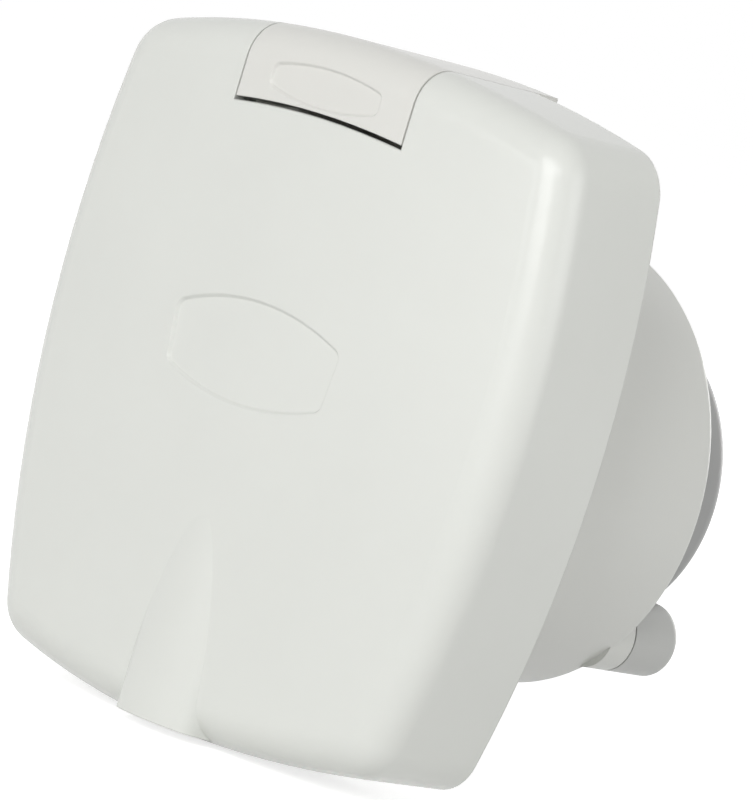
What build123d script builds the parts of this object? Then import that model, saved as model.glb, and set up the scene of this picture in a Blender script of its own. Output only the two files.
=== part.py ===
"""Shore power inlet with a sprung lid, a round body behind the panel and a cable gland.

X runs to the right as seen from the front, Y runs into the panel and Z is up. The origin is on the
axis of the round body, in the plane of the panel that the flange bears on. Sizes are in millimetres.
"""

import os
from math import asin, atan2, cos, degrees, hypot, radians, sin, sqrt

from build123d import *

# Lid outline, between the corners where its bowed edges would meet
lid_height = 125.0
lid_top_width = 110.3
lid_bottom_width = 97.6
side_bow = 7.4
top_bow = 6.8
bottom_bow = 5.1
top_corner_radius = 9.5
bottom_corner_radius = 8.6
lid_rise = 2.8

# Lid section
lid_depth = 24.5
lid_wall = 2.6
edge_radius = 7.3
crown_across = 3.8
crown_up = 1.3

# Finger lift, a shallow half round that leaves the face and ends at the lower edge
lift_radius = 24.0
lift_length = 38.0
lift_height = 2.9
lift_half_width = 11.0
lift_flare = 0.35
lift_side_round = 4.0
lift_end_inset = 0.2

# Bare recessed panel on the lid's face
panel_top_half = 21.2
panel_bottom_half = 20.0
panel_top = 10.2
panel_bottom = -1.0
panel_top_bow = 3.7
panel_bottom_bow = 3.0
panel_corner = 2.2
panel_sink = 0.6

# Bare recessed panel on the hinge tower
badge_half = 13.6
badge_height = 3.9
badge_centre = 52.6
badge_bow = 1.4
badge_corner = 1.2
badge_sink = 0.5

# Sloping walls of both recesses, as an angle and as the width that they take up
recess_slope = 40.0
recess_run = 0.6
recess_reach = 3.0

# Hinge
pin_radius = 2.0
pin_below_top = 8.5
pin_behind_face = 12.0
pin_running_gap = 0.06
tower_half_width = 21.1
tower_side_gap = 0.35
tower_wall = 2.5
tower_room_radius = 14.4
tower_foot = 47.1
tower_foot_bow = 1.2
tower_skirt = 13.0
notch_radius = 17.55
ear_thickness = 3.6
ear_radius = 4.0

# Closing spring
spring_coil_radius = 3.5
spring_wire_radius = 0.55
spring_turns = 6
spring_pitch = 1.35
spring_leg_clearance = 0.3
spring_leg_droop = 28.0

# Flange
flange_thickness = 3.2
flange_inset = 6.5
flange_gap = 3.3
flange_edge_break = 0.8
screw_inset_across = 9.8
screw_inset_up = 20.5
screw_hole_radius = 2.3
screw_seat_radius = 4.4
screw_seat_depth = 1.0
drip_collar_wall = 2.2
drip_collar_height = 4.3
drip_collar_gap = 0.5

# Round body behind the panel
body_radius = 42.0
body_wall = 2.4
body_length = 42.7
body_edge_radius = 1.1
cover_ledge_width = 3.0
cover_ledge_height = 2.2
cover_sink = 0.4
post_radius = 2.8
post_length = 15.0
post_rib = 2.0

# Panel gasket, drawn as pressed flush with the flange
gasket_gap = 1.2
gasket_width = 3.0
gasket_thickness = 1.4

# Plug sleeve
sleeve_inset = 13.0
sleeve_wall = 2.5
sleeve_reach = 24.0
sleeve_tail = 19.0
sleeve_flange_inset = 4.0
sleeve_flange_thickness = 2.4
sleeve_seal_thickness = 0.8
sleeve_hole_gap = 0.4
sleeve_lip = 1.6
sleeve_lip_thickness = 1.5
keyway_width = 6.0
keyway_depth = 1.7
keyway_length = 26.0
sleeve_screw_margin = 3.4
sleeve_screw_count = 4
sleeve_screw_turn = 45.0
lug_radius = 3.4
lug_overhang = 1.9
lug_length = 11.0

# Contact carrier and contacts
carrier_front = 8.0
carrier_gap = 0.35
carrier_flange_thickness = 3.0
contact_offset = 11.5
phase_pin_radius = 3.0
earth_pin_radius = 4.0
phase_pin_reach = 27.0
earth_pin_reach = 30.0
pin_seat_depth = 4.0
pin_tip_chamfer = 1.0
shank_radius = 2.0
shank_overrun = 7.0
terminal_radius = 4.6
terminal_length = 12.5
terminal_flat = 3.7
terminal_screw_back = 3.2

# Screws
small_shank_radius = 1.4
small_head_radius = 2.6
small_head_height = 1.8
small_screw_length = 9.0
small_edge_break = 0.5
recess_width = 0.7
recess_arm = 1.7
recess_depth = 0.9
set_screw_radius = 1.5
set_screw_length = 5.0
set_head_radius = 2.2
set_head_height = 1.3
screw_hole_gap = 0.2

# Rear cover
cover_thickness = 2.6
cover_edge_gap = 0.3
pot_inset = 11.0
pot_length = 21.0
pot_wall = 2.2
pot_edge_radius = 3.0
cover_screw_inset = 5.7
cover_screw_count = 3
cover_screw_turn = 42.5
cover_seal_thickness = 1.1

# Cable gland
gland_inset = 5.7
gland_angle = -47.5
gland_radius = 6.8
gland_bore = 4.3
gland_boss_reach = 4.0
gland_boss_root = 12.0
gland_boss_step = 1.7
gland_neck_radius = 5.3
gland_neck_length = 7.0
gland_nut_gap = 0.3
gland_nut_length = 12.4
gland_nut_end = 2.0
gland_nut_round = 2.2
gland_seal_length = 2.2
gland_ring_length = 0.9
gland_fit_gap = 0.15
gland_cover_gap = 0.4

# Lid seal and inner ribs
seal_width = 3.2
seal_overhang = 0.2
seal_squeeze_gap = 0.3
seal_height = 2.6
seal_rib = 1.7
seal_rib_height = 1.1
lid_rib_thickness = 2.0
lid_rib_depth = 2.4

# Places worked out from the sizes above
face_y = -(flange_thickness + flange_gap + lid_depth)
crest_y = face_y - crown_across - crown_up
lid_back_y = face_y + lid_depth
lid_top_z = lid_rise + lid_height / 2
lid_bottom_z = lid_rise - lid_height / 2
pin_y = face_y + pin_behind_face
pin_z = lid_top_z - pin_below_top
notch_half_width = tower_half_width + tower_side_gap
ear_outer_x = notch_half_width + ear_thickness
sleeve_bore = body_radius - sleeve_inset
sleeve_outer = sleeve_bore + sleeve_wall
sleeve_flange_radius = body_radius - sleeve_flange_inset
sleeve_screw_circle = sleeve_outer + sleeve_screw_margin
lug_offset = sleeve_outer + lug_overhang
screw_half_across = lid_bottom_width / 2 - screw_inset_across
screw_half_up = lid_height / 2 - screw_inset_up
sleeve_front_y = -(flange_thickness + sleeve_reach)
sleeve_flange_back_y = -(flange_thickness + sleeve_seal_thickness)
sleeve_flange_front_y = sleeve_flange_back_y - sleeve_flange_thickness
carrier_back_y = sleeve_tail + carrier_flange_thickness
body_bore = body_radius - body_wall
cover_back_y = body_length - cover_sink
cover_front_y = cover_back_y - cover_thickness
ledge_y = cover_front_y - cover_seal_thickness
ledge_bore = body_bore - cover_ledge_width
cover_screw_circle = body_bore - cover_screw_inset
pot_radius = body_bore - pot_inset
gland_offset = body_radius - gland_inset
gland_x = gland_offset * cos(radians(gland_angle))
gland_z = gland_offset * sin(radians(gland_angle))
boss_back_y = body_length + gland_boss_reach
neck_back_y = boss_back_y + gland_neck_length
nut_front_y = boss_back_y + gland_nut_gap
nut_back_y = nut_front_y + gland_nut_length
seal_inner_radius = sleeve_bore + seal_overhang
seal_outer_radius = seal_inner_radius + seal_width
seal_back_y = sleeve_front_y - seal_squeeze_gap
seal_front_y = seal_back_y - seal_height
cover_screw_angles = [cover_screw_turn + 360 / cover_screw_count * i for i in range(cover_screw_count)]
sleeve_screw_angles = [sleeve_screw_turn + 360 / sleeve_screw_count * i for i in range(sleeve_screw_count)]
contacts = {"earth": -90.0, "line": 30.0, "neutral": 150.0}


def prism(sketch, front_y, back_y):
    """The flat shape, drawn in X and Z, drawn out along Y."""
    return extrude(Plane.XZ.offset(-back_y) * sketch, amount=back_y - front_y)


def rod(radius, front_y, back_y, x=0.0, z=0.0):
    """A round bar along Y."""
    return prism(Pos(x, z) * Circle(radius), front_y, back_y)


def tube(outer, inner, front_y, back_y, x=0.0, z=0.0):
    """A round tube along Y."""
    return prism(Pos(x, z) * (Circle(outer) - Circle(inner)), front_y, back_y)


def cross_bar(radius, low_x, high_x, y, z):
    """A round bar along X."""
    return extrude(Plane.YZ.offset(low_x) * Pos(y, z) * Circle(radius), amount=high_x - low_x)


def block(low, high):
    """A box between two corners."""
    size = [high[i] - low[i] for i in range(3)]
    middle = [(high[i] + low[i]) / 2 for i in range(3)]
    return Pos(*middle) * Box(*size)


def polar(radius, angle):
    """X and Z of a place on a circle about the body's axis."""
    return radius * cos(radians(angle)), radius * sin(radians(angle))


def panel_outline(top_half, bottom_half, top_z, bottom_z, top, bottom, corner):
    """A panel with straight sides, a bowed top, a bowed foot and rounded corners."""
    top_left, top_right = (-top_half, top_z), (top_half, top_z)
    low_left, low_right = (-bottom_half, bottom_z), (bottom_half, bottom_z)
    upper = ThreePointArc(top_right, (0, top_z + top), top_left)
    lower = ThreePointArc(low_left, (0, bottom_z - bottom), low_right)
    sheet = make_face([Line(low_right, top_right), upper, Line(top_left, low_left), lower])
    return fillet(sheet.vertices(), corner)


def bow_disc(start, end, bow, inset):
    """The disc whose rim bows out by the given amount between two corners, drawn in by the inset."""
    run_x, run_z = end[0] - start[0], end[1] - start[1]
    chord = hypot(run_x, run_z)
    radius = (chord**2 / 4 + bow**2) / (2 * bow)
    out_x, out_z = run_z / chord, -run_x / chord
    centre_x = (start[0] + end[0]) / 2 - out_x * (radius - bow)
    centre_z = (start[1] + end[1]) / 2 - out_z * (radius - bow)
    seam = degrees(atan2(-out_z, -out_x))
    return Pos(centre_x, centre_z) * Rot(0, 0, seam) * Circle(radius - inset)


def lid_sheet(inset):
    """The lid's outline seen from the front, the overlap of four large discs, with rounded corners."""
    top_half, bottom_half = lid_top_width / 2, lid_bottom_width / 2
    top_z, low_z = lid_top_z - top_bow, lid_bottom_z + bottom_bow
    top_left, top_right = (-top_half, top_z), (top_half, top_z)
    low_left, low_right = (-bottom_half, low_z), (bottom_half, low_z)
    sheet = bow_disc(low_right, top_right, side_bow, inset)
    sheet &= bow_disc(top_left, low_left, side_bow, inset)
    sheet &= bow_disc(top_right, top_left, top_bow, inset)
    sheet &= bow_disc(low_left, low_right, bottom_bow, inset)
    sheet = fillet(sheet.vertices().sort_by(Axis.Y)[:2], bottom_corner_radius - inset)
    return fillet(sheet.vertices().sort_by(Axis.Y)[-2:], top_corner_radius - inset)


def crown_body(inset):
    """All that lies behind the lid's crowned face, drawn in by the inset."""
    half = lid_top_width / 2
    across_radius = (half**2 + crown_across**2) / (2 * crown_across)
    up_radius = ((lid_height / 2) ** 2 + crown_up**2) / (2 * crown_up)
    reach_x = half + side_bow + lid_depth
    radius = across_radius - inset
    edge_y = crest_y + inset + radius - sqrt(radius**2 - reach_x**2)
    back_y = body_length + lid_depth
    front = ThreePointArc((-reach_x, edge_y), (0, crest_y + inset), (reach_x, edge_y))
    sides = Polyline((reach_x, edge_y), (reach_x, back_y), (-reach_x, back_y), (-reach_x, edge_y))
    section = make_face([front, sides])
    swing = 2 * degrees(asin(lid_height / 2 / up_radius))
    pivot_y = crest_y + up_radius
    axis = Axis((0, pivot_y, lid_rise), (1, 0, 0))
    flat = Pos(0, 0, lid_rise) * section
    return revolve(flat.rotate(axis, -swing), axis, revolution_arc=2 * swing)


def lid_block(inset, back_y):
    """The lid's outer form as a full block: crowned face, rounded front edge, bowed sides."""
    body = prism(lid_sheet(inset), face_y - lid_depth, back_y) & crown_body(inset)
    front_edges = body.faces().sort_by(Axis.Y)[0].edges()
    return fillet(front_edges, edge_radius - inset)


def lift(inset):
    """The half round that a thumb lifts, drawn in by the inset."""
    start_z = lid_bottom_z + lift_length
    end_z = lid_bottom_z + lift_end_inset
    share = (start_z - lid_rise) / (lid_height / 2)
    start_y = face_y - crown_across - crown_up * (1 - share**2)
    end_y = face_y - crown_across - lift_height
    slope = (end_y - start_y) / (end_z - start_z)
    lean = degrees(atan2(slope, 1))
    length = lift_length * 2
    bar = Pos(0, start_y + lift_radius, start_z) * Rot(-lean, 0, 0) * Cylinder(lift_radius - inset, length)
    front_y, back_y = face_y - lid_depth, face_y + lid_depth / 2
    front_half = lift_half_width - inset + lift_flare * (front_y - face_y)
    back_half = lift_half_width - inset + lift_flare * (back_y - face_y)
    front_right, back_right = (front_half, front_y), (back_half, back_y)
    back_left, front_left = (-back_half, back_y), (-front_half, front_y)
    plan = make_face(Polyline(front_left, front_right, back_right, back_left, close=True))
    lowest = end_z + inset
    body = bar & extrude(Pos(0, 0, lowest) * plan, amount=start_z - lowest)
    shoulders = [e for e in body.edges() if e.bounding_box().size.Z > lift_radius and e.center().Y < face_y]
    return fillet(shoulders, lift_side_round - inset)


def panel_sheet():
    """The outline of the bare panel on the lid's face, at the foot of its sloping walls."""
    top_z, low_z = lid_rise + panel_top - recess_run, lid_rise + panel_bottom + recess_run
    top_half, low_half = panel_top_half - recess_run, panel_bottom_half - recess_run
    corner = panel_corner - recess_run
    return panel_outline(top_half, low_half, top_z, low_z, panel_top_bow, panel_bottom_bow, corner)


def badge_sheet():
    """The outline of the bare panel on the hinge tower, at the foot of its sloping walls."""
    centre, half_height = lid_rise + badge_centre, badge_height / 2 - recess_run
    top_z, low_z = centre + half_height, centre - half_height
    half, corner = badge_half - recess_run, badge_corner - recess_run
    return panel_outline(half, half, top_z, low_z, badge_bow, badge_bow, corner)


def sink(sheet, depth, foot_y):
    """What is cut away in front of a recess floor that follows the crown."""
    walls = extrude(Plane.XZ.offset(-foot_y) * sheet, amount=recess_reach, taper=-recess_slope)
    return walls - crown_body(depth)


def lid_ear(side):
    """One hinge ear inside the lid, joined to its top wall and face."""
    low_x = notch_half_width if side > 0 else -ear_outer_x
    boss = cross_bar(ear_radius, low_x, low_x + ear_thickness, pin_y, pin_z)
    front = block(
        (low_x, face_y - crown_across, pin_z - ear_radius),
        (low_x + ear_thickness, pin_y, lid_top_z),
    )
    upper = block(
        (low_x, pin_y, pin_z),
        (low_x + ear_thickness, pin_y + ear_radius, lid_top_z),
    )
    return (boss + front + upper) & lid_block(lid_wall / 2, lid_back_y)


def lid_ribs():
    """Stiffening ribs between the seal seat, the ears and the lid's walls."""
    half = lid_rib_thickness / 2
    back = face_y + lid_rib_depth
    front = face_y - lid_depth
    inner, outer = seal_inner_radius, lid_height
    rib_x = notch_half_width + ear_thickness / 2
    shapes = Sketch()
    for side in (1, -1):
        shapes += Pos(side * rib_x, (inner + outer) / 2 - seal_width) * Rectangle(2 * half, outer - inner)
        shapes += Pos(side * rib_x, -(inner + outer) / 2 + seal_width) * Rectangle(2 * half, outer - inner)
        shapes += Pos(side * (inner + outer) / 2, 0) * Rectangle(outer - inner, 2 * half)
    shapes -= Circle(seal_outer_radius)
    return prism(shapes, front, back) & lid_block(lid_wall / 2, lid_back_y)


def seal_seat():
    """The ring inside the lid that holds the seal between two low ribs."""
    seat = tube(seal_outer_radius + seal_rib, seal_inner_radius - seal_rib, face_y - lid_depth, seal_front_y)
    ribs_back = seal_front_y + seal_rib_height
    outer = tube(seal_outer_radius + seal_rib, seal_outer_radius, seal_front_y, ribs_back)
    inner = tube(seal_inner_radius, seal_inner_radius - seal_rib, seal_front_y, ribs_back)
    return (seat + outer + inner) & lid_block(lid_wall / 2, lid_back_y)


def make_lid():
    """The moulded lid, with its notch for the hinge tower, ears, ribs and seal seat."""
    outer = lid_block(0, lid_back_y) + lift(0)
    hollow = lid_block(lid_wall, lid_back_y + lid_wall) + lift(lid_wall)
    shell = outer - hollow
    shell += seal_seat() + lid_ribs()
    shell -= cross_bar(notch_radius, -notch_half_width, notch_half_width, pin_y, pin_z)
    for side in (1, -1):
        shell += lid_ear(side)
    shell -= cross_bar(pin_radius, -ear_outer_x, ear_outer_x, pin_y, pin_z)
    return shell - sink(panel_sheet(), panel_sink, crest_y + panel_sink + recess_run)


def tower_front():
    """The front half of the hinge tower's outer form, with its arched foot."""
    foot_z, top_z = lid_rise + tower_foot, lid_top_z + top_bow
    left, right = (-tower_half_width, foot_z), (tower_half_width, foot_z)
    foot = ThreePointArc(left, (0, foot_z + tower_foot_bow), right)
    sides = Polyline(right, (tower_half_width, top_z), (-tower_half_width, top_z), left)
    return prism(make_face([foot, sides]), face_y - lid_depth, pin_y)


def make_tower():
    """The fixed hinge tower on the flange, whose front lies flush in the lid's face."""
    lowest, top_z = pin_z - tower_skirt, lid_top_z + top_bow
    behind = block((-tower_half_width, pin_y, lowest), (tower_half_width, 0, top_z))
    outer = lid_block(0, 0) & (tower_front() + behind)
    inner_half = tower_half_width - tower_wall
    room = cross_bar(tower_room_radius, -inner_half, inner_half, pin_y, pin_z)
    room += block((-inner_half, pin_y, lowest - tower_wall), (inner_half, -flange_thickness, top_z))
    front_y, back_y = face_y - lid_depth, -flange_thickness
    room &= block((-inner_half, front_y, lowest - tower_wall), (inner_half, back_y, top_z))
    outer -= room & lid_block(lid_wall, 0)
    hole = pin_radius + pin_running_gap
    outer -= cross_bar(hole, -tower_half_width, tower_half_width, pin_y, pin_z)
    return outer - sink(badge_sheet(), badge_sink, crest_y + crown_up + badge_sink + recess_run / 2)


def screw_places():
    """X and Z of the four panel screws."""
    return [(x, z) for x in (-screw_half_across, screw_half_across) for z in (-screw_half_up, screw_half_up)]


def make_flange():
    """The flange plate with its screw holes, the hole for the sleeve and the drip collar."""
    plate = prism(lid_sheet(flange_inset), -flange_thickness, 0)
    plate = fillet(plate.faces().sort_by(Axis.Y)[0].edges(), flange_edge_break)
    collar_inner = sleeve_flange_radius + drip_collar_gap
    collar_front = -flange_thickness - drip_collar_height
    plate += tube(collar_inner + drip_collar_wall, collar_inner, collar_front, -flange_thickness)
    plate -= rod(sleeve_outer + sleeve_hole_gap, -flange_thickness, 0)
    for side in (1, -1):
        plate -= rod(lug_radius + sleeve_hole_gap, -flange_thickness, 0, side * lug_offset, 0)
    key_half = keyway_width / 2 + sleeve_wall + sleeve_hole_gap
    key_foot = sleeve_outer + keyway_depth + sleeve_hole_gap
    plate -= block((-key_half, -flange_thickness, -key_foot), (key_half, 0, 0))
    for x, z in screw_places():
        plate -= rod(screw_hole_radius, -flange_thickness, 0, x, z)
        plate -= rod(screw_seat_radius, -flange_thickness, -flange_thickness + screw_seat_depth, x, z)
    for angle in sleeve_screw_angles:
        x, z = polar(sleeve_screw_circle, angle)
        plate -= rod(small_shank_radius, -flange_thickness, 0, x, z)
    return plate


def make_body():
    """The round body behind the panel, with the cover's ledge, posts and gland boss."""
    shell = rod(body_radius, 0, body_length)
    shell = fillet(shell.edges().filter_by(GeomType.CIRCLE).sort_by(Axis.Y)[-1], body_edge_radius)
    shell -= rod(body_bore, 0, body_length)
    shell += tube(body_bore + body_wall / 2, ledge_bore, ledge_y - cover_ledge_height, ledge_y)
    for angle in cover_screw_angles:
        x, z = polar(cover_screw_circle, angle)
        shell += rod(post_radius, cover_front_y - post_length, cover_front_y, x, z)
        inner, outer = cover_screw_circle + post_radius / 2, body_bore + body_wall / 2
        rib = block(
            (inner, cover_front_y - post_length, -post_rib / 2),
            (outer, ledge_y, post_rib / 2),
        )
        shell += rib.rotate(Axis.Y, -angle)
    boss = rod(gland_radius, body_length - gland_boss_root, boss_back_y, gland_x, gland_z)
    step_y = body_length - gland_boss_step
    keep = rod(body_radius, 0, step_y) + rod(body_radius + gland_radius, step_y, neck_back_y)
    shell += boss & keep
    shell += rod(gland_neck_radius, boss_back_y, neck_back_y, gland_x, gland_z)
    shell -= rod(gland_bore, body_length - gland_boss_root, neck_back_y, gland_x, gland_z)
    for angle in cover_screw_angles:
        x, z = polar(cover_screw_circle, angle)
        shell -= rod(small_shank_radius, cover_back_y - small_screw_length, cover_front_y, x, z)
    return shell


def make_panel_gasket():
    """The ring gasket in the groove of the flange."""
    inner = body_radius + gasket_gap
    return tube(inner + gasket_width, inner, -gasket_thickness, 0)


def make_front_frame():
    """The flange and hinge tower, with the groove for the gasket."""
    return make_flange() + make_tower() - make_panel_gasket()


def keyway(extra):
    """The key slot at the foot of the sleeve, widened by the wall round it."""
    half = keyway_width / 2 + extra
    return block(
        (-half, sleeve_front_y, -sleeve_bore - keyway_depth - extra),
        (half, sleeve_front_y + keyway_length, 0),
    )


def make_sleeve():
    """The sleeve that takes the plug, with its flange, key slot, inner lip and screw lugs."""
    sleeve = rod(sleeve_outer, sleeve_front_y, sleeve_tail) + keyway(sleeve_wall)
    sleeve += rod(sleeve_flange_radius, sleeve_flange_front_y, sleeve_flange_back_y)
    for side in (1, -1):
        lug = rod(lug_radius, sleeve_tail - lug_length, sleeve_tail, side * lug_offset, 0)
        sleeve += lug
    sleeve -= rod(sleeve_bore, sleeve_front_y, sleeve_tail)
    sleeve -= keyway(0)
    lip_front_y = carrier_front - sleeve_lip_thickness
    sleeve += tube(sleeve_bore + sleeve_wall / 2, sleeve_bore - sleeve_lip, lip_front_y, carrier_front)
    for side in (1, -1):
        low = carrier_back_y - small_screw_length
        sleeve -= rod(small_shank_radius, low, sleeve_tail, side * lug_offset, 0)
    for angle in sleeve_screw_angles:
        x, z = polar(sleeve_screw_circle, angle)
        hole = small_shank_radius + screw_hole_gap
        sleeve -= rod(hole, sleeve_flange_front_y, sleeve_flange_back_y, x, z)
    return sleeve


def make_sleeve_seal():
    """The flat seal between the sleeve's flange and the frame's flange."""
    outer = sleeve_flange_radius - sleeve_hole_gap
    inner = sleeve_outer + sleeve_hole_gap
    seal = tube(outer, inner, sleeve_flange_back_y, -flange_thickness)
    seal -= keyway(sleeve_wall + sleeve_hole_gap)
    for angle in sleeve_screw_angles:
        x, z = polar(sleeve_screw_circle, angle)
        seal -= rod(small_shank_radius + screw_hole_gap, sleeve_flange_back_y, -flange_thickness, x, z)
    return seal


def small_screw(under_head_y, forward, x, z, length=small_screw_length):
    """A cross-recessed screw along Y, whose head lies before or behind the given plane."""
    toward = -1 if forward else 1
    tip = under_head_y - toward * length
    top = under_head_y + toward * small_head_height
    head = rod(small_head_radius, min(under_head_y, top), max(under_head_y, top), x, z)
    rim = head.edges().filter_by(GeomType.CIRCLE).sort_by(Axis.Y)[0 if forward else -1]
    screw = fillet(rim, small_edge_break)
    screw += rod(small_shank_radius, min(tip, under_head_y), max(tip, under_head_y), x, z)
    floor = top - toward * recess_depth
    low_y, high_y = min(top, floor), max(top, floor)
    arm, half = recess_arm, recess_width / 2
    screw -= block((x - arm, low_y, z - half), (x + arm, high_y, z + half))
    return screw - block((x - half, low_y, z - arm), (x + half, high_y, z + arm))


def make_sleeve_screws():
    """The screws that hold the sleeve to the flange."""
    places = [polar(sleeve_screw_circle, angle) for angle in sleeve_screw_angles]
    length = sleeve_flange_thickness + sleeve_seal_thickness + flange_thickness
    return Compound([small_screw(sleeve_flange_front_y, True, x, z, length) for x, z in places])


def contact_places():
    """Each contact's X and Z."""
    return {name: polar(contact_offset, angle) for name, angle in contacts.items()}


def contact_radius(name):
    """The radius of a contact pin."""
    return earth_pin_radius if name == "earth" else phase_pin_radius


def make_carrier():
    """The insulating carrier of the contacts, with the ears that screw it to the sleeve."""
    carrier = rod(sleeve_bore - carrier_gap, carrier_front, sleeve_tail)
    back = Circle(sleeve_outer)
    ear_middle, ear_length = (lug_offset + sleeve_bore) / 2, lug_offset - sleeve_bore
    for side in (1, -1):
        back += Pos(side * lug_offset, 0) * Circle(lug_radius)
        back += Pos(side * ear_middle, 0) * Rectangle(ear_length, 2 * lug_radius)
    carrier += prism(back, sleeve_tail, carrier_back_y)
    for name, (x, z) in contact_places().items():
        carrier -= rod(contact_radius(name), carrier_front, carrier_front + pin_seat_depth, x, z)
        carrier -= rod(shank_radius, carrier_front, carrier_back_y, x, z)
    for side in (1, -1):
        hole = small_shank_radius + screw_hole_gap
        carrier -= rod(hole, sleeve_tail, carrier_back_y, side * lug_offset, 0)
    return carrier


def make_carrier_screws():
    """The screws that hold the carrier to the sleeve."""
    screws = [small_screw(carrier_back_y, False, side * lug_offset, 0) for side in (1, -1)]
    return Compound(screws)


def make_contact(name):
    """A turned contact pin with a chamfered tip and a thinner shank."""
    x, z = contact_places()[name]
    radius = contact_radius(name)
    pin_reach = earth_pin_reach if name == "earth" else phase_pin_reach
    pin = rod(radius, carrier_front - pin_reach, carrier_front + pin_seat_depth, x, z)
    tip = pin.edges().filter_by(GeomType.CIRCLE).sort_by(Axis.Y)[0]
    pin = chamfer(tip, pin_tip_chamfer)
    return pin + rod(shank_radius, carrier_front + pin_seat_depth, carrier_back_y + shank_overrun, x, z)


def make_terminal(name):
    """The screw terminal on a contact's shank, flat where its screw goes in."""
    x, z = contact_places()[name]
    angle = contacts[name]
    back_y = carrier_back_y + terminal_length
    body = rod(terminal_radius, carrier_back_y, back_y, contact_offset, 0)
    body -= block(
        (contact_offset + terminal_flat, carrier_back_y, -terminal_radius),
        (contact_offset + terminal_radius, back_y, terminal_radius),
    )
    body -= rod(shank_radius, carrier_back_y, back_y, contact_offset, 0)
    hole_y = back_y - terminal_screw_back
    body -= cross_bar(set_screw_radius, contact_offset, contact_offset + terminal_radius, hole_y, 0)
    return body.rotate(Axis.Y, -angle)


def terminal_screw(angle):
    """One clamping screw of a terminal, pointing at the contact's axis."""
    back_y = carrier_back_y + terminal_length
    y = back_y - terminal_screw_back
    seat = contact_offset + terminal_flat
    shank = cross_bar(set_screw_radius, seat - shank_radius, seat + set_head_height, y, 0)
    head_low = seat + set_head_height / 2
    head = cross_bar(set_head_radius, head_low, head_low + set_head_height, y, 0)
    slot = block(
        (head_low + set_head_height - recess_depth / 2, y - set_head_radius, -recess_width / 2),
        (head_low + set_head_height, y + set_head_radius, recess_width / 2),
    )
    return (shank + head - slot).rotate(Axis.Y, -angle)


def make_terminal_screws():
    """The clamping screws of the terminals."""
    return Compound([terminal_screw(angle) for angle in contacts.values()])


def make_rear_cover():
    """The cover that closes the round body, with its deep pot and the bite for the gland boss."""
    plate = rod(body_bore - cover_edge_gap, cover_front_y, cover_back_y)
    pot = rod(pot_radius, cover_front_y, cover_back_y + pot_length)
    pot = fillet(pot.edges().filter_by(GeomType.CIRCLE).sort_by(Axis.Y)[-1], pot_edge_radius)
    cover = plate + pot
    room = rod(pot_radius - pot_wall, cover_front_y, cover_back_y + pot_length - pot_wall)
    inner_edge = room.edges().filter_by(GeomType.CIRCLE).sort_by(Axis.Y)[-1]
    cover -= fillet(inner_edge, pot_edge_radius - pot_wall / 2)
    bite = gland_radius + gland_cover_gap
    cover -= rod(bite, cover_front_y, cover_back_y, gland_x, gland_z)
    for angle in cover_screw_angles:
        x, z = polar(cover_screw_circle, angle)
        cover -= rod(small_shank_radius + screw_hole_gap, cover_front_y, cover_back_y, x, z)
    return cover


def make_rear_cover_seal():
    """The flat ring between the rear cover and its ledge."""
    outer = body_bore - cover_edge_gap
    inner = cover_screw_circle + post_radius + screw_hole_gap
    seal = tube(outer, inner, ledge_y, cover_front_y)
    return seal - rod(gland_radius + gland_cover_gap, ledge_y, cover_front_y, gland_x, gland_z)


def make_rear_cover_screws():
    """The screws of the rear cover."""
    places = [polar(cover_screw_circle, angle) for angle in cover_screw_angles]
    return Compound([small_screw(cover_back_y, False, x, z) for x, z in places])


def make_gland_nut():
    """The gland nut, a smooth sleeve with a rounded end."""
    nut = rod(gland_radius, nut_front_y, nut_back_y, gland_x, gland_z)
    end = nut.edges().filter_by(GeomType.CIRCLE).sort_by(Axis.Y)[-1]
    nut = fillet(end, gland_nut_round)
    room = gland_neck_radius + gland_fit_gap
    nut -= rod(room, nut_front_y, nut_back_y - gland_nut_end, gland_x, gland_z)
    return nut - rod(gland_bore, nut_front_y, nut_back_y, gland_x, gland_z)


def make_gland_seal():
    """The rubber ring that grips the cable."""
    return tube(
        gland_neck_radius, gland_bore, neck_back_y, neck_back_y + gland_seal_length, gland_x, gland_z
    )


def make_gland_ring():
    """The slip ring between the nut and the rubber ring."""
    front_y = neck_back_y + gland_seal_length
    return tube(gland_neck_radius, gland_bore, front_y, front_y + gland_ring_length, gland_x, gland_z)


def make_lid_seal():
    """The ring seal in the lid that meets the sleeve's mouth."""
    return tube(seal_outer_radius, seal_inner_radius, seal_front_y, seal_back_y)


def make_hinge_pin():
    """The steel pin, fast in the lid's ears and free in the tower."""
    return cross_bar(pin_radius, -ear_outer_x, ear_outer_x, pin_y, pin_z)


def make_spring():
    """The torsion spring round the hinge pin, with one leg against the flange."""
    height = spring_turns * spring_pitch
    path = Helix(spring_pitch, height, spring_coil_radius)
    profile = Plane(origin=path @ 0, z_dir=path % 0) * Circle(spring_wire_radius)
    coil = sweep(profile, path=path, is_frenet=True)
    run = -flange_thickness - spring_leg_clearance - spring_wire_radius - pin_y
    droop = radians(spring_leg_droop)
    leg_length = (run - spring_coil_radius * sin(droop)) / cos(droop)
    centred = (Align.CENTER, Align.CENTER, Align.MIN)
    leg = Cylinder(spring_wire_radius, leg_length, align=centred)
    leg = Pos(spring_coil_radius, 0, 0) * Rot(90, 0, 0) * leg
    turned = Rot(0, 0, 90 - spring_leg_droop) * (coil + leg)
    return Plane(origin=(-height / 2, pin_y, pin_z), x_dir=(0, 1, 0), z_dir=(1, 0, 0)) * turned


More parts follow.
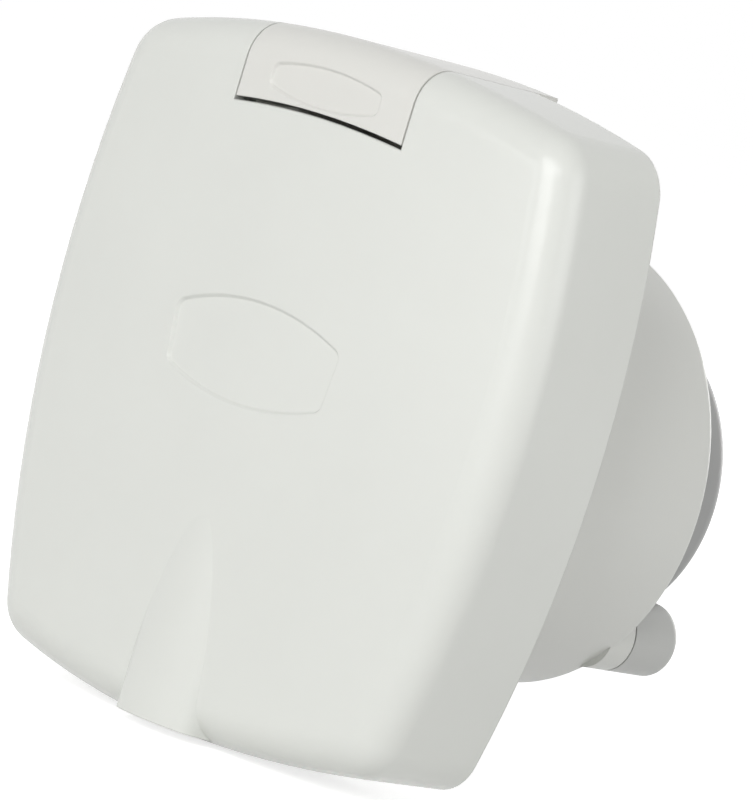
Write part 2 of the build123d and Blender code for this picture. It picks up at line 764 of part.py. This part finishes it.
def build_nodes():
    """Every piece by its name."""
    nodes = {
        "front_frame": make_front_frame(),
        "round_body": make_body(),
        "lid": make_lid(),
        "lid_seal": make_lid_seal(),
        "hinge_pin": make_hinge_pin(),
        "closing_spring": make_spring(),
        "panel_gasket": make_panel_gasket(),
        "plug_sleeve": make_sleeve(),
        "sleeve_seal": make_sleeve_seal(),
        "sleeve_screws": make_sleeve_screws(),
        "contact_carrier": make_carrier(),
        "carrier_screws": make_carrier_screws(),
        "terminal_screws": make_terminal_screws(),
        "rear_cover": make_rear_cover(),
        "rear_cover_seal": make_rear_cover_seal(),
        "rear_cover_screws": make_rear_cover_screws(),
        "gland_nut": make_gland_nut(),
        "gland_seal": make_gland_seal(),
        "gland_ring": make_gland_ring(),
    }
    for name in contacts:
        nodes[name + "_pin"] = make_contact(name)
        nodes[name + "_terminal"] = make_terminal(name)
    return nodes


def main():
    os.makedirs("parts", exist_ok=True)
    for name, shape in build_nodes().items():
        export_step(shape, os.path.join("parts", name + ".step"))


main()
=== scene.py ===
import bpy
from mathutils import Matrix, Vector


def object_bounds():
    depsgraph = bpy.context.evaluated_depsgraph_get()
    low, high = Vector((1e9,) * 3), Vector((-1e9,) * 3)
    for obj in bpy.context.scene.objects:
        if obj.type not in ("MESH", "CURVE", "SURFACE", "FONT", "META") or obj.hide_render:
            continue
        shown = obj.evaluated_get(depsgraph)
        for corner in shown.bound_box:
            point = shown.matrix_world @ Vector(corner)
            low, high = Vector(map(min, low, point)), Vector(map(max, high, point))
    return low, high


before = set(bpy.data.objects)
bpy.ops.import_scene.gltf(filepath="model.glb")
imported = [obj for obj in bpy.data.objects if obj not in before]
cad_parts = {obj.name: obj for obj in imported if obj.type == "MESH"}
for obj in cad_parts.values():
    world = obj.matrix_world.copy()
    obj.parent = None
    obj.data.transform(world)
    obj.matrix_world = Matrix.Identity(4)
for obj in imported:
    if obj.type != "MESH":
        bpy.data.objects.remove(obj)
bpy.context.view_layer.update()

MM = 0.001
EDGE_ROUND = 0.4 * MM
BUMP_HEIGHT = 0.1 * MM
WORLD_LEVEL = 0.35
FLOOR_COLOUR = 0.8
FLOOR_HALF = 6.0
FLOOR_GAP = 0.5 * MM


def node_tree(name):
    """A new material and its cleared node tree."""
    mat = bpy.data.materials.new(name)
    mat.use_nodes = True
    mat.node_tree.nodes.clear()
    return mat, mat.node_tree.nodes, mat.node_tree.links


def moulded(name, colour, roughness, spread=0.03, grain=0.02):
    """Moulded plastic or rubber with faint colour drift, uneven gloss and a fine grain."""
    mat, nodes, links = node_tree(name)
    out = nodes.new("ShaderNodeOutputMaterial")
    shader = nodes.new("ShaderNodeBsdfPrincipled")
    links.new(shader.outputs["BSDF"], out.inputs["Surface"])
    place = nodes.new("ShaderNodeTexCoord")
    drift = nodes.new("ShaderNodeTexNoise")
    drift.inputs["Scale"].default_value = 26.0
    drift.inputs["Detail"].default_value = 3.0
    links.new(place.outputs["Object"], drift.inputs["Vector"])
    tint = nodes.new("ShaderNodeMix")
    tint.data_type = "RGBA"
    low = [c * (1.0 - spread) for c in colour]
    high = [min(1.0, c * (1.0 + spread)) for c in colour]
    tint.inputs[6].default_value = (*low, 1.0)
    tint.inputs[7].default_value = (*high, 1.0)
    links.new(drift.outputs["Fac"], tint.inputs[0])
    links.new(tint.outputs[2], shader.inputs["Base Color"])
    gloss = nodes.new("ShaderNodeMapRange")
    gloss.inputs["To Min"].default_value = roughness * 0.92
    gloss.inputs["To Max"].default_value = roughness * 1.08
    links.new(drift.outputs["Fac"], gloss.inputs["Value"])
    links.new(gloss.outputs["Result"], shader.inputs["Roughness"])
    fine = nodes.new("ShaderNodeTexNoise")
    fine.inputs["Scale"].default_value = 2600.0
    fine.inputs["Detail"].default_value = 2.0
    links.new(place.outputs["Object"], fine.inputs["Vector"])
    bump = nodes.new("ShaderNodeBump")
    bump.inputs["Strength"].default_value = grain
    bump.inputs["Distance"].default_value = BUMP_HEIGHT
    links.new(fine.outputs["Fac"], bump.inputs["Height"])
    edge = nodes.new("ShaderNodeBevel")
    edge.samples = 6
    edge.inputs["Radius"].default_value = EDGE_ROUND
    links.new(edge.outputs["Normal"], bump.inputs["Normal"])
    links.new(bump.outputs["Normal"], shader.inputs["Normal"])
    return mat


def turned(name, colour, roughness, ring_scale):
    """Metal with faint tool marks and a little tarnish."""
    mat, nodes, links = node_tree(name)
    out = nodes.new("ShaderNodeOutputMaterial")
    shader = nodes.new("ShaderNodeBsdfPrincipled")
    shader.inputs["Metallic"].default_value = 1.0
    links.new(shader.outputs["BSDF"], out.inputs["Surface"])
    place = nodes.new("ShaderNodeTexCoord")
    stain = nodes.new("ShaderNodeTexNoise")
    stain.inputs["Scale"].default_value = 140.0
    stain.inputs["Detail"].default_value = 4.0
    links.new(place.outputs["Object"], stain.inputs["Vector"])
    tint = nodes.new("ShaderNodeMix")
    tint.data_type = "RGBA"
    tint.inputs[6].default_value = (*[c * 0.82 for c in colour], 1.0)
    tint.inputs[7].default_value = (*colour, 1.0)
    links.new(stain.outputs["Fac"], tint.inputs[0])
    links.new(tint.outputs[2], shader.inputs["Base Color"])
    gloss = nodes.new("ShaderNodeMapRange")
    gloss.inputs["To Min"].default_value = roughness * 0.75
    gloss.inputs["To Max"].default_value = roughness * 1.25
    links.new(stain.outputs["Fac"], gloss.inputs["Value"])
    links.new(gloss.outputs["Result"], shader.inputs["Roughness"])
    rings = nodes.new("ShaderNodeTexWave")
    rings.bands_direction = "Y"
    rings.inputs["Scale"].default_value = ring_scale
    rings.inputs["Distortion"].default_value = 1.5
    links.new(place.outputs["Object"], rings.inputs["Vector"])
    bump = nodes.new("ShaderNodeBump")
    bump.inputs["Strength"].default_value = 0.05
    bump.inputs["Distance"].default_value = BUMP_HEIGHT
    links.new(rings.outputs["Fac"], bump.inputs["Height"])
    links.new(bump.outputs["Normal"], shader.inputs["Normal"])
    return mat


white = moulded("white_plastic", (0.735, 0.747, 0.708), 0.26)
tower_white = moulded("tower_white", (0.735, 0.731, 0.694), 0.26)
body_white = moulded("body_plastic", (0.735, 0.742, 0.705), 0.36)
# Gland and rear cover: greys set darker than the body plastic, partly their own tone and partly painted
# shade for the barrel's shadow over the rear parts
shaded_rear_grey = moulded("rear_plastic_painted_shade", (0.56, 0.566, 0.545), 0.38)
shaded_cover_grey = moulded("cover_plastic_painted_shade", (0.40, 0.402, 0.396), 0.38)
dark = moulded("carrier_plastic", (0.03, 0.03, 0.032), 0.45, spread=0.1)
rubber = moulded("seal_rubber", (0.022, 0.022, 0.023), 0.7, spread=0.15, grain=0.08)
brass = turned("contact_brass", (0.80, 0.60, 0.30), 0.21, 900.0)
steel = turned("bright_steel", (0.60, 0.60, 0.61), 0.21, 1400.0)

looks = {
    "front_frame": tower_white,
    "round_body": body_white,
    "lid": white,
    "plug_sleeve": white,
    "rear_cover": shaded_cover_grey,
    "gland_nut": shaded_rear_grey,
    "gland_ring": shaded_rear_grey,
    "contact_carrier": dark,
    "lid_seal": rubber,
    "panel_gasket": rubber,
    "sleeve_seal": rubber,
    "rear_cover_seal": rubber,
    "gland_seal": rubber,
    "earth_pin": brass,
    "line_pin": brass,
    "neutral_pin": brass,
    "earth_terminal": brass,
    "line_terminal": brass,
    "neutral_terminal": brass,
    "hinge_pin": steel,
    "closing_spring": steel,
    "sleeve_screws": steel,
    "carrier_screws": steel,
    "terminal_screws": steel,
    "rear_cover_screws": steel,
}

for name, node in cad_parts.items():
    node.data.materials.clear()
    node.data.materials.append(looks[name])

low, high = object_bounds()


def seen_directly(tree):
    """1 where the camera, a reflection or a clear piece looks straight at the surface."""
    rays = tree.nodes.new("ShaderNodeLightPath")
    total = rays.outputs["Is Camera Ray"]
    for kind in ("Is Glossy Ray", "Is Transmission Ray"):
        either = tree.nodes.new("ShaderNodeMath")
        either.operation = "MAXIMUM"
        tree.links.new(total, either.inputs[0])
        tree.links.new(rays.outputs[kind], either.inputs[1])
        total = either.outputs[0]
    return total


# Floor and backdrop, pale and white to the camera but still holding the shadow
floor_mesh = bpy.data.meshes.new("floor")
corners = [(-1, -1), (1, -1), (1, 1), (-1, 1)]
floor_z = low.z - FLOOR_GAP
floor_mesh.from_pydata([(x * FLOOR_HALF, y * FLOOR_HALF, floor_z) for x, y in corners], [], [(0, 1, 2, 3)])
floor = bpy.data.objects.new("floor", floor_mesh)
bpy.context.scene.collection.objects.link(floor)

mat, nodes, links = node_tree("floor")
out = nodes.new("ShaderNodeOutputMaterial")
diffuse = nodes.new("ShaderNodeBsdfDiffuse")
diffuse.inputs["Color"].default_value = (FLOOR_COLOUR, FLOOR_COLOUR, FLOOR_COLOUR, 1.0)
glow = nodes.new("ShaderNodeEmission")
glow.inputs["Color"].default_value = (1.0, 1.0, 1.0, 1.0)
amount = nodes.new("ShaderNodeMath")
amount.operation = "MULTIPLY"
amount.inputs[1].default_value = 1.0 - FLOOR_COLOUR * WORLD_LEVEL
links.new(seen_directly(mat.node_tree), amount.inputs[0])
links.new(amount.outputs[0], glow.inputs["Strength"])
both = nodes.new("ShaderNodeAddShader")
links.new(diffuse.outputs[0], both.inputs[0])
links.new(glow.outputs[0], both.inputs[1])
links.new(both.outputs[0], out.inputs["Surface"])
floor_mesh.materials.append(mat)

world = bpy.data.worlds.new("studio")
bpy.context.scene.world = world
world.use_nodes = True
tree = world.node_tree
tree.nodes.clear()
out = tree.nodes.new("ShaderNodeOutputWorld")
back = tree.nodes.new("ShaderNodeBackground")
back.inputs["Color"].default_value = (1.0, 1.0, 1.0, 1.0)
level = tree.nodes.new("ShaderNodeMapRange")
level.inputs["To Min"].default_value = WORLD_LEVEL
level.inputs["To Max"].default_value = 1.0
tree.links.new(seen_directly(tree), level.inputs["Value"])
tree.links.new(level.outputs["Result"], back.inputs["Strength"])
tree.links.new(back.outputs[0], out.inputs["Surface"])

target = (low + high) / 2


def soft_box(name, place, size, watts):
    """A square soft light aimed at the object, placed from its middle."""
    data = bpy.data.lights.new(name, "AREA")
    data.shape = "SQUARE"
    data.size = size
    data.energy = watts
    lamp = bpy.data.objects.new(name, data)
    lamp.location = target + Vector(place)
    lamp.rotation_euler = (target - lamp.location).to_track_quat("-Z", "Y").to_euler()
    bpy.context.scene.collection.objects.link(lamp)


soft_box("key", (0.42, -1.30, 0.56), 0.9, 11.3)
soft_box("corner_light", (0.98, -0.98, 0.74), 0.10, 1.0)
soft_box("front_fill", (-0.5, -1.45, 0.24), 0.5, 1.5)
soft_box("right_side", (1.3, 0.25, 0.38), 0.8, 3.3)
soft_box("back", (-0.15, 1.50, 0.40), 0.8, 5.0)

# Camera, from the view fitted to the photograph, with its shift in shares of the picture's width
right = Vector((0.6820, 0.6815, 0.2653))
down = Vector((0.2393, 0.1349, -0.9615))
forward = Vector((-0.6911, 0.7192, -0.0711))
place = Vector((734.3, -764.4, 79.9)) * MM
camera_data = bpy.data.cameras.new("camera")
camera_data.sensor_width = 36.0
camera_data.lens = 269.04
camera_data.shift_x = -0.00906
camera_data.clip_start = 0.01
camera_data.clip_end = 50.0
camera = bpy.data.objects.new("camera", camera_data)
turn = Matrix((right, -down, -forward)).transposed().to_4x4()
camera.matrix_world = Matrix.Translation(place) @ turn
bpy.context.scene.collection.objects.link(camera)
bpy.context.scene.camera = camera
bpy.context.scene.view_settings.view_transform = "Standard"
